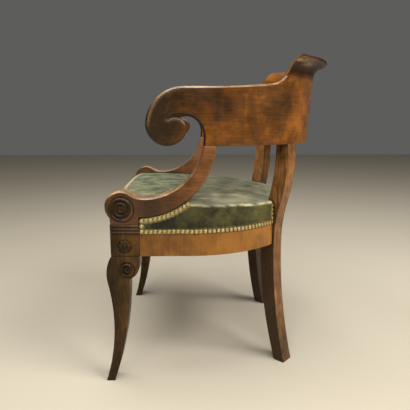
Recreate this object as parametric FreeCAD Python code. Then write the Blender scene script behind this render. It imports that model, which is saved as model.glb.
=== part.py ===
import FreeCAD, Part
import math
import os
from FreeCAD import Vector

# Desk armchair with a round back, sabre legs and scrolled arms, in millimetres.
# The chair faces -Y, +X is the sitter's left hand, and the floor is z = 0.

# Plan of the arms and back
half_width = 288.0            # centre line to the outer face of arms and front legs
bow_y = -38.0                 # centre of the round back
panel_thickness = 29.0        # arm boards and back board

# Plan of the seat, at the outer face of the leather
seat_bow_y = -81.0            # where the sides begin to curve in
seat_rear_setback = 66.0      # rear edge ahead of the back board's outer face
seat_corner_inset = 4.6       # corners inside the outer faces of the rear legs
seat_front_recess = 9.0       # leather behind the front of the leg blocks

# Seat frame
rail_setback = 2.0            # rails behind the face of the leather
rail_thickness = 28.0
rail_bottom = 327.0
rail_height = 67.0
tenon_thickness = 12.0
tenon_height = 42.0
tenon_length = 14.0
block_reach = 85.0            # corner blocks, along each front rail
rear_block_reach = 22.0       # corner blocks, in from the rear legs
rear_block_width = 120.0
block_height = 40.0
fit = 0.2                     # clearance round tenons, dowels and blocks

# Front legs
leg_front_y = -271.0          # front of the square block
block_depth = 68.0
leg_thickness = 44.0
foot_thickness = 36.0
toe_forward = 24.0            # toe ahead of the block
foot_depth = 21.0
throat_height = 155.0         # where the shin is slimmest
throat_back = 1.0
knee_start = 262.0
shank_depth = 42.0            # under the knee
hook_height = 269.0           # underside of the knee volute
hook_start = 308.0
block_bottom = 328.0
block_top = 382.0
leg_top = 405.0
reeds = 3
groove = 1.6                  # width and depth of the cut lines

# Carving on the leg and the arm support
knee_volute_back = 36.0       # centre behind the block's front
knee_volute_height = 292.5
knee_volute_radius = 20.5
rosette_height = 352.0
rosette_back = 33.0
rosette_radius = 17.0
rosette_eye = 4.5
petals = 8
spiral_band = 2.6             # width of a spiral's cut line
spiral_pitch = 10.0
carving_depth = 2.0

# Arm supports
volute_radius = 38.0
volute_back = 27.0            # centre behind the block's front
volute_rise = 42.0            # centre above the top of the leg
carved_volute_radius = 31.5
carved_volute_drop = 6.0      # carved spiral below the centre of the roll
volute_foot_angle = 225.0     # where the roll meets the top of the leg
support_foot_rise = 15.0      # lower edge above the top of the leg
support_top_width = 31.0
support_edge_ease = 3.5
taper_start = 470.0           # the support thins to the arm board from here up

# Arm boards
panel_bottom = 589.0
panel_height = 133.0
arm_front_y = -94.0           # where the top edge starts to roll over
scroll_radius = 88.0
scroll_shrink = 0.55          # each arc of the scroll against the one before
scroll_first_turn = 175.0     # directions where the arcs of the scroll meet
scroll_second_turn = 333.0
curl_mouth = 48.0             # gap behind the curl
curl_tip = 3.0                # gap where the curl closes
curl_tip_angle = 125.0
hollow_radius = 141.0         # hollow edge under the scroll
arm_seam_y = 47.0             # arm board meets back board
arm_edge_ease = 4.0           # bevel that eases the edges

# Back board and crest
back_lean = 0.065             # backward lean, as a slope
crest_joint_rise = 30.0       # joint above the top of the arms
crest_height = 46.0
crest_flare = 30.4            # how far the top reaches back, up to the rounded lip
crest_inner_flare = 26.0
crest_lip = 8.0               # height of the rounded lip
crest_nose = 0.7              # how far the underside of the lip stands out past its top
sweep_low = ((111.0, 9.0), (138.0, 20.4))     # top edge's sweep: places, and rises above the arms
sweep_high = ((160.0, 18.0), (173.0, 39.0))   # places, and rises above the crest's joint
sweep_end_y = 189.0

# Rear legs
rear_leg_angle = 47.0         # from +X, about the centre of the round back
rear_leg_width = 37.0
stile_sweep = 32.0
foot_sweep = 43.0
stile_depth = 33.0            # at the back board
rear_rail_depth = 41.0        # at the seat rails
rear_foot_depth = 30.0
rear_straight = 330.0         # height where leg and stile meet upright
stile_turn = 439.0            # height where the stile's curve reverses
rear_tenon_inset = 18.0       # rail tenons, in from the outer face
stile_tenon_width = 24.0
stile_tenon_height = 22.0

# Dowels, diameter and half length
peg_sides = 8
leg_dowel = (16.0, 22.0)
arm_dowel = (12.0, 18.0)
seam_dowel = (8.0, 18.0)
crest_dowel = (8.0, 16.0)
seam_dowel_rises = (31.0, 66.0, 101.0)
crest_dowel_angles = (-30.0, -15.0, 0.0, 15.0, 30.0)

# Upholstery
leather = 1.7
loose = 0.3                   # soft pieces clear of their neighbours
leather_bottom = 381.0
crown_height = 475.0
crown_y = -235.0
crown_radius = 2600.0
webbing_width = 50.0
webbing_thickness = 1.5
webbing_x = (-103.0, -35.0, 35.0, 103.0)
webbing_y = (-147.0, -77.0, -7.0, 63.0)
hessian_thickness = 1.0
tack_margin = 8.0             # webbing and hessian inside the face of the rails

# Brass nails
nail_radius = 5.0
nail_height = 2.6
nail_crown = 0.5              # flat of the head against its radius
nail_sides = 6
nail_pitch = 10.8
nail_line = 387.0
nail_gap = 6.2                # row from the edge that it follows
nail_row_top = 455.0
rear_row_top = 436.0

# Derived values
rail_top = rail_bottom + rail_height
leg_rear_y = leg_front_y + block_depth
leg_inner_x = half_width - leg_thickness
tenon_bottom = rail_bottom + (rail_height - tenon_height) / 2
panel_mid = half_width - panel_thickness / 2
stile_top_s = half_width
stile_rail_s = stile_top_s - stile_sweep
rear_foot_s = stile_rail_s + foot_sweep
rear_tenon_s = stile_rail_s - rear_tenon_inset
arm_top = panel_bottom + panel_height
crest_joint = arm_top + crest_joint_rise
crest_top = crest_joint + crest_height
arm_end_y = bow_y + back_lean * panel_height
webbing_base = rail_top
hessian_base = webbing_base + 2 * webbing_thickness + fit
stuffing_base = hessian_base + hessian_thickness + fit
seat_rear_y = bow_y + half_width - seat_rear_setback
crest_y = bow_y + back_lean * (crest_joint - panel_bottom)
far = 1000.0                  # longer than anything here


def polar(centre, radius, angle):
    """Point at an angle in degrees round a centre, as a pair."""
    turn = math.radians(angle)
    return (centre[0] + radius * math.cos(turn), centre[1] + radius * math.sin(turn))


def side(u, v):
    """Side elevation: (y, z)."""
    return Vector(0, u, v)


def front(u, v):
    """Front elevation: (x, z)."""
    return Vector(u, 0, v)


def plan(u, v):
    """Plan: (x, y)."""
    return Vector(u, v, 0)


class Outline:
    """A chain of lines and arcs in one plane, drawn point by point."""

    def __init__(self, place, u, v, heading=None):
        self.place = place
        self.first = (u, v)
        self.at = (u, v)
        self.heading = heading
        self.edges = []

    def line(self, u, v):
        self.edges.append(Part.LineSegment(self.place(*self.at), self.place(u, v)).toShape())
        self.heading = math.degrees(math.atan2(v - self.at[1], u - self.at[0]))
        self.at = (u, v)
        return self

    def bend(self, u, v):
        """Arc to a point, tangent to the heading so far."""
        chord = math.hypot(u - self.at[0], v - self.at[1])
        half_turn = math.degrees(math.atan2(v - self.at[1], u - self.at[0])) - self.heading
        half_turn = (half_turn + 180.0) % 360.0 - 180.0
        reach = chord / (2 * math.cos(math.radians(half_turn / 2)))
        middle = polar(self.at, reach, self.heading + half_turn / 2)
        self.edges.append(Part.Arc(self.place(*self.at), self.place(*middle), self.place(u, v)).toShape())
        self.heading += 2 * half_turn
        self.at = (u, v)
        return self

    def arc(self, centre, radius, start, end):
        """Arc about a centre, from one angle to another, joined on by a line where it has to be."""
        begin = polar(centre, radius, start)
        if math.dist(begin, self.at) > 0.001:
            self.line(*begin)
        points = [polar(centre, radius, angle) for angle in ((start + end) / 2, end)]
        self.edges.append(Part.Arc(self.place(*self.at), *(self.place(*p) for p in points)).toShape())
        self.heading = end + math.copysign(90.0, end - start)
        self.at = points[-1]
        return self

    def wire(self):
        if math.dist(self.at, self.first) > 0.001:
            self.line(*self.first)
        return Part.Wire(self.edges)

    def face(self, grow=0.0):
        """Closed face, optionally larger all round."""
        wire = self.wire()
        return Part.Face(wire.makeOffset2D(grow) if grow else wire)


def slab(face, axis, start, end):
    """Face drawn through the origin, stretched between two distances along an axis."""
    moved = face.copy()
    moved.translate(axis * start)
    return moved.extrude(axis * (end - start))


def box(low, high):
    size = Vector(*high) - Vector(*low)
    return Part.makeBox(size.x, size.y, size.z, Vector(*low))


def rod(diameter, start, direction, length):
    return Part.makeCylinder(diameter / 2, length, start, direction)


def ring(radius, height, sides):
    """Corners of a regular polygon about the Z axis."""
    corners = [polar((0.0, 0.0), radius, 360.0 * n / sides) for n in range(sides)]
    return [Vector(u, v, height) for u, v in corners]


def peg(diameter, start, direction, length):
    """Dowel, cut with flat sides as riven pegs are."""
    corners = ring(diameter / 2, 0.0, peg_sides)
    body = Part.Face(Part.makePolygon(corners + corners[:1])).extrude(Z * length)
    body.Placement = FreeCAD.Placement(start, FreeCAD.Rotation(Z, direction))
    return body


def mirrored(shape):
    return shape.mirror(Vector(0, 0, 0), Vector(1, 0, 0))


def radial(shape):
    """Shape drawn along +X from the centre of the back, turned to the left rear leg's place."""
    turned = shape.copy()
    turned.rotate(Vector(0, 0, 0), Vector(0, 0, 1), rear_leg_angle)
    turned.translate(Vector(0, bow_y, 0))
    return turned


X = Vector(1, 0, 0)
Y = Vector(0, 1, 0)
Z = Vector(0, 0, 1)


# Carved ornament

def spiral(centre, radius, x):
    """Shallow cutter for a spiral line of half circles that shrink towards the eye."""
    outer = []
    middle = centre
    reach = radius
    angle = -90.0
    while reach > spiral_pitch / 2:
        outer.append((middle, reach, angle))
        middle = polar(middle, spiral_pitch / 2, angle + 180.0)
        reach -= spiral_pitch / 2
        angle += 180.0
    line = Outline(side, *polar(*outer[0]))
    for middle, reach, angle in outer:
        line.arc(middle, reach, angle, angle + 180.0)
    for middle, reach, angle in reversed(outer):
        line.arc(middle, reach - spiral_band, angle + 180.0, angle)
    return slab(line.face(), X, x - carving_depth, x + carving_depth)


def rosette(centre, x):
    """Cutter for a round flower: a ring, an eye and lines between petals."""
    start = Vector(x - carving_depth, *centre)
    rim = rod(2 * rosette_radius, start, X, far).cut(rod(2 * (rosette_radius - groove), start, X, far))
    eye = rod(2 * (rosette_eye + groove), start, X, far).cut(rod(2 * rosette_eye, start, X, far))
    cutter = rim.fuse(eye)
    for number in range(petals):
        low = (x - carving_depth, centre[0] - groove / 2, centre[1] + rosette_eye)
        high = (x + far, centre[0] + groove / 2, centre[1] + rosette_radius - groove / 2)
        line = box(low, high)
        line.rotate(start, X, number * 360.0 / petals)
        cutter = cutter.fuse(line)
    return cutter


# Front legs and arm supports, left side

def front_leg_face(grow=0.0):
    y = leg_front_y
    shin = (throat_height ** 2 + (toe_forward + throat_back) ** 2) / (2 * (toe_forward + throat_back))
    knee = y + throat_back - shin + math.sqrt(shin ** 2 - (knee_start - throat_height) ** 2)
    line = Outline(side, y - toe_forward, 0)
    start = math.degrees(math.asin(-throat_height / shin))
    end = math.degrees(math.asin((knee_start - throat_height) / shin))
    line.arc((y + throat_back - shin, throat_height), shin, start, end)
    line.bend(y, block_bottom).line(y, leg_top).line(y + block_depth, leg_top)
    line.line(y + block_depth, hook_start).bend(y + shank_depth, hook_height)
    line.heading = -90.0
    line.bend(y - toe_forward + foot_depth, 0)
    return line.face(grow)


def front_leg_blank(grow=0.0):
    taper = Outline(front, half_width + grow, -grow).line(half_width + grow, leg_top + grow)
    taper.line(leg_inner_x - grow, leg_top + grow).line(leg_inner_x - grow, hook_height)
    taper.line(half_width - foot_thickness - grow, -grow)
    body = slab(front_leg_face(grow), X, leg_inner_x - grow, half_width + grow)
    return body.common(slab(taper.face(), Y, -far, far))


def cut_line(height):
    """Ring cutter round the leg block."""
    low = (leg_inner_x, leg_front_y, height - groove / 2)
    high = (half_width, leg_rear_y, height + groove / 2)
    wide = box([v - far for v in low[:2]] + [low[2]], [v + far for v in high[:2]] + [high[2]])
    core = box([v + groove for v in low[:2]] + [low[2]], [v - groove for v in high[:2]] + [high[2]])
    return wide.cut(core)


def leg_dowel_body(clearance=0.0):
    diameter, half = leg_dowel
    start = Vector((leg_inner_x + half_width) / 2, leg_front_y + block_depth / 2, leg_top - half - clearance)
    return peg(diameter + 2 * clearance, start, Z, 2 * (half + clearance))


def front_leg():
    leg = front_leg_blank()
    reed = (leg_top - block_top) / reeds
    heights = [block_bottom] + [block_top + reed * n for n in range(reeds)]
    cutters = [cut_line(height) for height in heights]
    knee_volute = (leg_front_y + knee_volute_back, knee_volute_height)
    cutters.append(spiral(knee_volute, knee_volute_radius, half_width))
    cutters.append(rosette((leg_front_y + rosette_back, rosette_height), half_width))
    cutters += [side_rail_front_tenon(fit), front_rail_tenon(fit), leg_dowel_body(fit)]
    return leg.cut(cutters)


# The arms' curves: the scroll shrinks arc by arc into a curl, and the hollow edge runs round it.
roll = (arm_front_y, arm_top - scroll_radius)
roll_next = scroll_radius * scroll_shrink
roll_mid = polar(roll, scroll_radius - roll_next, scroll_first_turn)
curl_radius = roll_next * scroll_shrink
curl = polar(roll_mid, roll_next - curl_radius, scroll_second_turn)
hook_radius = curl_radius + (curl_mouth + curl_tip) / 2
hook = polar(curl, (curl_mouth - curl_tip) / 2, curl_tip_angle - 180.0)
hollow = (hook[0] + hook_radius - hollow_radius, hook[1])
seam_turn = math.degrees(math.asin((panel_bottom - hollow[1]) / hollow_radius))
seam_front_y = polar(hollow, hollow_radius, seam_turn)[0]
seam_rear_y = seam_front_y + support_top_width
volute = (leg_front_y + volute_back, leg_top + volute_rise)
lower_edge = (leg_rear_y, leg_top + support_foot_rise)
lower_rise = panel_bottom - lower_edge[1]
lower_run = seam_rear_y - lower_edge[0]
lower_radius = (lower_rise ** 2 + lower_run ** 2) / (2 * lower_rise)
lower_centre = (lower_edge[0], lower_edge[1] + lower_radius)


def arm_support_face(grow=0.0):
    line = Outline(side, leg_rear_y, leg_top).line(*lower_edge)
    line.heading = 0.0
    line.bend(seam_rear_y, panel_bottom).line(seam_front_y, panel_bottom)
    line.arc(hollow, hollow_radius, seam_turn, -90.0)
    run = hollow[0] - volute[0]
    dip = hollow[1] - hollow_radius - volute[1]
    saddle = (run ** 2 + dip ** 2 - volute_radius ** 2) / (2 * (volute_radius - dip))
    saddle_centre = (hollow[0], hollow[1] - hollow_radius + saddle)
    turn = math.degrees(math.atan2(saddle_centre[1] - volute[1], run))
    line.arc(saddle_centre, saddle, -90.0, turn - 180.0)
    line.arc(volute, volute_radius, turn, volute_foot_angle).line(leg_front_y + groove, leg_top)
    return line.face(grow)


def arm_support_blank(grow=0.0):
    inner = half_width - leg_thickness - grow
    taper = Outline(front, half_width + grow, leg_top - grow).line(half_width + grow, panel_bottom + grow)
    taper.line(half_width - panel_thickness - grow, panel_bottom + grow).line(inner, taper_start)
    taper.line(inner, leg_top - grow)
    body = slab(arm_support_face(grow), X, inner, half_width + grow)
    return body.common(slab(taper.face(), Y, -far, far))


def arm_dowel_body(clearance=0.0):
    diameter, half = arm_dowel
    start = Vector(panel_mid, (seam_front_y + seam_rear_y) / 2, panel_bottom - half - clearance)
    return peg(diameter + 2 * clearance, start, Z, 2 * (half + clearance))


def arm_support():
    support = arm_support_blank()
    outer = [e for e in support.Edges if abs(e.BoundBox.XMin - half_width) < fit and e.BoundBox.ZLength > fit]
    eased = [e for e in outer if e.Curve.TypeId == "Part::GeomCircle"]
    support = support.makeChamfer(support_edge_ease, eased)
    centre = (volute[0], volute[1] - carved_volute_drop)
    carving = spiral(centre, carved_volute_radius, half_width)
    return support.cut([carving, leg_dowel_body(fit), arm_dowel_body(fit)])


# Rear legs, drawn along +X from the centre of the back

def rear_leg_blank(grow=0.0):
    line = Outline(front, rear_foot_s, 0)
    shin = (rear_straight ** 2 + foot_sweep ** 2) / (2 * foot_sweep)
    low = math.degrees(math.asin(rear_straight / shin))
    line.arc((stile_rail_s + shin, rear_straight), shin, 180.0 + low, 180.0)
    line.bend((stile_rail_s + stile_top_s) / 2, stile_turn).bend(stile_top_s, panel_bottom)
    inner_top = stile_top_s - stile_depth
    inner_rail = stile_rail_s - rear_rail_depth
    line.line(inner_top, panel_bottom)
    line.heading = -90.0
    line.bend((inner_rail + inner_top) / 2, stile_turn).bend(inner_rail, rear_straight)
    line.heading = -90.0
    line.bend(rear_foot_s - rear_foot_depth, 0)
    half = rear_leg_width / 2 + grow
    return radial(slab(line.face(grow), Y, -half, half))


def stile_tenon(clearance=0.0):
    half_thick = tenon_thickness / 2 + clearance
    half_wide = stile_tenon_width / 2 + clearance
    low = (panel_mid - half_thick, -half_wide, panel_bottom - clearance)
    high = (panel_mid + half_thick, half_wide, panel_bottom + stile_tenon_height + clearance)
    return radial(box(low, high))


def rear_leg():
    leg = rear_leg_blank().fuse(stile_tenon())
    return leg.cut([rear_leg_tenon(-1, fit), rear_leg_tenon(1, fit)])


# Seat frame

# The seat's plan: straight sides that curve in to corners at the rear legs, and a bowed rear edge.
seat_corner = polar((0.0, bow_y), stile_rail_s - seat_corner_inset, rear_leg_angle)
side_run = seat_corner[1] - seat_bow_y
side_turn_in = half_width - seat_corner[0]
side_radius = (side_run ** 2 + side_turn_in ** 2) / (2 * side_turn_in)
side_centre = (half_width - side_radius, seat_bow_y)
rear_rise = seat_rear_y - seat_corner[1]
rear_radius = (seat_corner[0] ** 2 + rear_rise ** 2) / (2 * rear_rise)
rear_centre = (0.0, seat_rear_y - rear_radius)


def seat_outline(inset):
    """Face inside the seat's plan by a given distance."""
    front_y = leg_front_y + seat_front_recess
    turn = math.degrees(math.asin(side_run / side_radius))
    rear_turn = math.degrees(math.acos(seat_corner[0] / rear_radius))
    line = Outline(plan, -half_width, front_y).line(half_width, front_y)
    line.arc(side_centre, side_radius, 0.0, turn).arc(rear_centre, rear_radius, rear_turn, 180.0 - rear_turn)
    line.arc((-side_centre[0], seat_bow_y), side_radius, 180.0 - turn, 180.0)
    return line.face(-inset)


def rear_leg_tenon(hand, clearance=0.0):
    """Rail tenon in the left rear leg: hand -1 for the side rail, 1 for the rear rail."""
    half = tenon_thickness / 2 + clearance
    face = rear_leg_width / 2
    ends = sorted((hand * (face + clearance), hand * (face - tenon_length - clearance)))
    low = (rear_tenon_s - half, ends[0], tenon_bottom - clearance)
    high = (rear_tenon_s + half, ends[1], tenon_bottom + tenon_height + clearance)
    return radial(box(low, high))


def side_rail_front_tenon(clearance=0.0):
    middle = half_width - rail_setback - rail_thickness / 2
    half = tenon_thickness / 2 + clearance
    low = (middle - half, leg_rear_y - tenon_length - clearance, tenon_bottom - clearance)
    high = (middle + half, leg_rear_y + clearance, tenon_bottom + tenon_height + clearance)
    return box(low, high)


def front_rail_tenon(clearance=0.0):
    middle = leg_front_y + seat_front_recess + rail_setback + rail_thickness / 2
    half = tenon_thickness / 2 + clearance
    low = (leg_inner_x - clearance, middle - half, tenon_bottom - clearance)
    high = (leg_inner_x + tenon_length + clearance, middle + half, tenon_bottom + tenon_height + clearance)
    return box(low, high)


def rail_ring():
    outer = slab(seat_outline(rail_setback), Z, rail_bottom, rail_top)
    return outer.cut(slab(seat_outline(rail_setback + rail_thickness), Z, rail_bottom, rail_top))


def beside_rear_leg(hand):
    """Half space in front of the left rear leg (hand -1) or behind it (hand 1)."""
    face = rear_leg_width / 2
    ends = sorted((hand * face, hand * far))
    return radial(box((-far, ends[0], 0), (far, ends[1], far)))


def side_rail():
    behind_leg = box((0, leg_rear_y, 0), (far, far, far))
    rail = rail_ring().common(behind_leg).common(beside_rear_leg(-1))
    return rail.fuse([side_rail_front_tenon(), rear_leg_tenon(-1)])


def rear_rail():
    rail = rail_ring().common(beside_rear_leg(1)).common(mirrored(beside_rear_leg(1)))
    return rail.fuse([rear_leg_tenon(1), mirrored(rear_leg_tenon(1))])


def front_rail():
    face = leg_front_y + seat_front_recess + rail_setback
    rail = box((-leg_inner_x, face, rail_bottom), (leg_inner_x, face + rail_thickness, rail_top))
    return rail.fuse([front_rail_tenon(), mirrored(front_rail_tenon())])


def front_corner_block():
    inner = half_width - rail_setback - rail_thickness - fit
    face = leg_front_y + seat_front_recess + rail_setback + rail_thickness + fit
    line = Outline(plan, inner, face).line(inner, face + block_reach).line(inner - block_reach, face)
    block = slab(line.face(), Z, tenon_bottom, tenon_bottom + block_height)
    return block.cut(front_leg_blank(fit))


def rear_corner_block():
    room = seat_outline(rail_setback + rail_thickness + fit)
    room = slab(room, Z, tenon_bottom, tenon_bottom + block_height)
    inner = stile_rail_s - rear_rail_depth - rear_block_reach
    half = rear_block_width / 2
    corner = room.common(radial(box((inner, -half, 0), (far, half, far))))
    return corner.cut(rear_leg_blank(fit))


# Arm boards, back board and crest

def leaning_wall():
    """Round wall that leans back, from the foot of the back board to the crest's joint."""
    start = Vector(0, 0, -far)
    wall = Part.makeCylinder(half_width, 2 * far, start)
    wall = wall.cut(Part.makeCylinder(half_width - panel_thickness, 2 * far, start))
    wall.rotate(Vector(0, 0, 0), X, -math.degrees(math.atan(back_lean)))
    wall.translate(Vector(0, bow_y, panel_bottom))
    return wall.common(box((-far, -far, panel_bottom), (far, far, crest_joint)))


def rolled_wall():
    """Round wall above the joint, which rolls back into a rounded lip."""
    inner = half_width - panel_thickness
    line = Outline(front, inner, crest_joint, 90.0).bend(inner + crest_inner_flare, crest_top)
    line.line(half_width + crest_flare, crest_top)
    line.bend(half_width + crest_flare + crest_nose, crest_top - crest_lip).bend(half_width, crest_joint)
    wall = line.face().revolve(Vector(0, 0, 0), Z, 360.0)
    wall.translate(Vector(0, crest_y, 0))
    return wall


def under_sweep(wall):
    """Part of a wall below the top edge, which sweeps up from the arms to the crest."""
    line = Outline(side, bow_y, panel_bottom).line(arm_end_y, arm_top)
    line.heading = 0.0
    for y, rise in sweep_low:
        line.bend(y, arm_top + rise)
    for y, rise in sweep_high:
        line.bend(y, crest_joint + rise)
    line.bend(sweep_end_y, crest_top).line(sweep_end_y, crest_top + fit)
    line.line(far, crest_top + fit).line(far, panel_bottom)
    return wall.common(slab(line.face(), X, -far, far))


def arm_board_face():
    line = Outline(side, bow_y, panel_bottom).line(seam_front_y, panel_bottom)
    line.arc(hollow, hollow_radius, seam_turn, 0.0).arc(hook, hook_radius, 0.0, curl_tip_angle)
    line.bend(*polar(curl, curl_radius, curl_tip_angle))
    line.arc(curl, curl_radius, curl_tip_angle, scroll_second_turn - 360.0)
    line.arc(roll_mid, roll_next, scroll_second_turn, scroll_first_turn)
    line.arc(roll, scroll_radius, scroll_first_turn, 90.0).line(arm_end_y, arm_top)
    return line.face()


def seam_dowels(clearance=0.0):
    diameter, half = seam_dowel
    x = math.sqrt(panel_mid ** 2 - (arm_seam_y - bow_y) ** 2)
    starts = [Vector(x, arm_seam_y - half - clearance, panel_bottom + rise) for rise in seam_dowel_rises]
    return [peg(diameter + 2 * clearance, start, Y, 2 * (half + clearance)) for start in starts]


def crest_dowels(clearance=0.0):
    diameter, half = crest_dowel
    pins = []
    for angle in crest_dowel_angles:
        x, y = polar((0.0, crest_y), panel_mid, 90.0 - angle)
        start = Vector(x, y, crest_joint - half - clearance)
        pins.append(peg(diameter + 2 * clearance, start, Z, 2 * (half + clearance)))
    return pins


def swept_edges(shape, low, high):
    """Edges that run front to back between two heights, such as those of the arms' top."""
    picked = []
    for edge in shape.Edges:
        room = edge.BoundBox
        if room.ZMin > low - fit and room.ZMax < high + fit and room.YLength > room.XLength:
            picked.append(edge)
    return picked


def arm_board(wall):
    board = slab(arm_board_face(), X, half_width - panel_thickness, half_width)
    bent = wall.common(box((0, -far, 0), (far, arm_seam_y, far)))
    board = board.fuse(bent)
    arcs = [e for e in board.Edges if e.BoundBox.XLength < fit and e.Curve.TypeId == "Part::GeomCircle"]
    board = board.makeChamfer(arm_edge_ease, arcs + swept_edges(board, arm_top, crest_joint))
    return board.cut([arm_dowel_body(fit)] + seam_dowels(fit))


def back_board(wall):
    board = wall.common(box((-far, arm_seam_y, 0), (far, far, far)))
    board = board.makeChamfer(arm_edge_ease, swept_edges(board, arm_top, crest_joint))
    sockets = seam_dowels(fit) + [stile_tenon(fit)]
    return board.cut(sockets + [mirrored(socket) for socket in sockets] + crest_dowels(fit))


def crest_rail():
    return under_sweep(rolled_wall()).cut(crest_dowels(fit))


# Upholstery

def frame_cutters(grow):
    """Legs and arm supports, larger by a clearance."""
    left = [front_leg_blank(grow), arm_support_blank(grow), rear_leg_blank(grow)]
    return left + [mirrored(piece) for piece in left]


def seat_form(inset, bottom, grow):
    """Crowned seat, smaller all round by an inset, cut clear of the frame."""
    block = slab(seat_outline(inset), Z, bottom, crown_height + 1)
    dome = Part.makeSphere(crown_radius - inset, Vector(0, crown_y, crown_height - crown_radius), X)
    return block.common(dome).cut(frame_cutters(grow))


def seat_cover():
    hollow_form = seat_form(leather, rail_bottom, loose + leather)
    return seat_form(0.0, leather_bottom, loose).cut(hollow_form)


def seat_stuffing():
    return seat_form(leather + loose, stuffing_base, 2 * loose + leather)


def hessian():
    sheet = slab(seat_outline(rail_setback + tack_margin), Z, hessian_base, hessian_base + hessian_thickness)
    return sheet.cut(frame_cutters(loose))


def webbing(strips, base):
    sheet = slab(seat_outline(rail_setback + tack_margin), Z, base, base + webbing_thickness)
    cutters = frame_cutters(loose)
    return [sheet.common(strip).cut(cutters) for strip in strips]


def webbing_front_to_back():
    half = webbing_width / 2
    return webbing([box((x - half, -far, 0), (x + half, far, far)) for x in webbing_x], webbing_base)


def webbing_side_to_side():
    half = webbing_width / 2
    strips = [box((-far, y - half, 0), (far, y + half, far)) for y in webbing_y]
    return webbing(strips, webbing_base + webbing_thickness + fit / 2)


# Nails

def nail(point, out):
    """Low faceted head on a surface, facing out."""
    low = ring(nail_radius, 0.0, nail_sides)
    high = ring(nail_radius * nail_crown, nail_height, nail_sides)
    loops = [low, high]
    for n in range(nail_sides):
        loops.append([low[n - 1], low[n], high[n], high[n - 1]])
    faces = [Part.Face(Part.makePolygon(loop + loop[:1])) for loop in loops]
    head = Part.Solid(Part.Shell(faces))
    head.Placement = FreeCAD.Placement(point, FreeCAD.Rotation(Z, out))
    return head


def leg_side(point):
    """Distance of a plan point across the left rear leg's plane, forward negative."""
    turn = math.radians(rear_leg_angle)
    return -point.x * math.sin(turn) + (point.y - bow_y) * math.cos(turn)


def side_edge_point(run):
    """Point and outward direction on the leather's side edge, a run behind the front leg."""
    straight = seat_bow_y - leg_rear_y
    if run <= straight:
        return Vector(half_width, leg_rear_y + run, 0), X
    angle = math.degrees((run - straight) / side_radius)
    x, y = polar(side_centre, side_radius, angle)
    return Vector(x, y, 0), Vector(*polar((0.0, 0.0), 1.0, angle), 0)


def side_run_end():
    """Run along the side edge at which a nail head just clears the rear leg."""
    low, high = 0.0, far
    while high - low > 0.001:
        run = (low + high) / 2
        if leg_side(side_edge_point(run)[0]) < -rear_leg_width / 2 - nail_radius - fit:
            low = run
        else:
            high = run
    return low


def side_nails():
    """Row along the left rail, evenly spaced, and the upright row beside the rear leg."""
    end = side_run_end()
    count = round((end - nail_gap) / nail_pitch)
    heads = []
    for number in range(count + 1):
        point, out = side_edge_point(nail_gap + (end - nail_gap) * number / count)
        heads.append(nail(point + Z * nail_line, out))
    height = nail_line + nail_pitch
    while height < rear_row_top:
        heads.append(nail(point + Z * height, out))
        height += nail_pitch
    return heads


def arm_nails():
    """Upright row behind the left front leg, then along the support's lower edge."""
    heads = []
    y = leg_rear_y + nail_gap
    radius = lower_radius + nail_gap
    rise = lower_centre[1] - math.sqrt(radius ** 2 - nail_gap ** 2) - nail_line
    count = round(rise / nail_pitch)
    for number in range(1, count):
        heads.append(nail(Vector(half_width, y, nail_line + rise * number / count), X))
    turn = -90.0 + math.degrees(nail_gap / radius)
    while polar(lower_centre, radius, turn)[1] < nail_row_top:
        heads.append(nail(Vector(half_width, *polar(lower_centre, radius, turn)), X))
        turn += math.degrees(nail_pitch / radius)
    return heads


def front_nails():
    face = leg_front_y + seat_front_recess
    count = int((leg_inner_x - nail_gap) / nail_pitch)
    return [nail(Vector(n * nail_pitch, face, nail_line), -Y) for n in range(-count, count + 1)]


def rear_nails():
    """Row along the rear edge, from its middle to both rear legs."""
    clear = rear_leg_width / 2 + nail_gap
    heads = []
    angle = 0.0
    while True:
        point = Vector(*polar(rear_centre, rear_radius, 90.0 - angle), nail_line)
        if leg_side(point) < clear:
            return heads
        head = nail(point, Vector(*polar((0.0, 0.0), 1.0, 90.0 - angle), 0))
        heads += [head, mirrored(head)] if angle else [head]
        angle += math.degrees(nail_pitch / rear_radius)


def save(name, shape):
    solid = Part.makeCompound(shape) if isinstance(shape, list) else shape
    solid.exportStep("parts/" + name + ".step")
    print(name, len(solid.Solids), round(solid.Volume / 1000.0, 1), solid.isValid())


def save_pair(name, shape):
    """A left piece and its mirrored right one."""
    save(name + "_left", shape)
    save(name + "_right", [mirrored(s) for s in shape] if isinstance(shape, list) else mirrored(shape))


os.makedirs("parts", exist_ok=True)
wall = under_sweep(leaning_wall())
save_pair("front_leg", front_leg())
save_pair("rear_leg", rear_leg())
save_pair("arm_support", arm_support())
save_pair("arm_board", arm_board(wall))
save("back_board", back_board(wall))
save("crest_rail", crest_rail())
save("front_seat_rail", front_rail())
save_pair("side_seat_rail", side_rail())
save("rear_seat_rail", rear_rail())
save_pair("front_corner_block", front_corner_block())
save_pair("rear_corner_block", rear_corner_block())
save("leg_dowels", [leg_dowel_body(), mirrored(leg_dowel_body())])
save("arm_dowels", [arm_dowel_body(), mirrored(arm_dowel_body())])
save_pair("back_seam_dowels", seam_dowels())
save("crest_dowels", crest_dowels())
save("webbing_front_to_back", webbing_front_to_back())
save("webbing_side_to_side", webbing_side_to_side())
save("seat_hessian", hessian())
save("seat_stuffing", seat_stuffing())
save("seat_leather", seat_cover())
save_pair("side_rail_nails", side_nails())
save_pair("arm_support_nails", arm_nails())
save("front_rail_nails", front_nails())
save("rear_rail_nails", rear_nails())
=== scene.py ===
"""Looks of a mahogany desk armchair: polished wood, carving, a leather seat and brass nails."""
import math
import random
import bmesh
import bpy
from mathutils import Matrix, Vector
from mathutils.kdtree import KDTree


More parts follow.
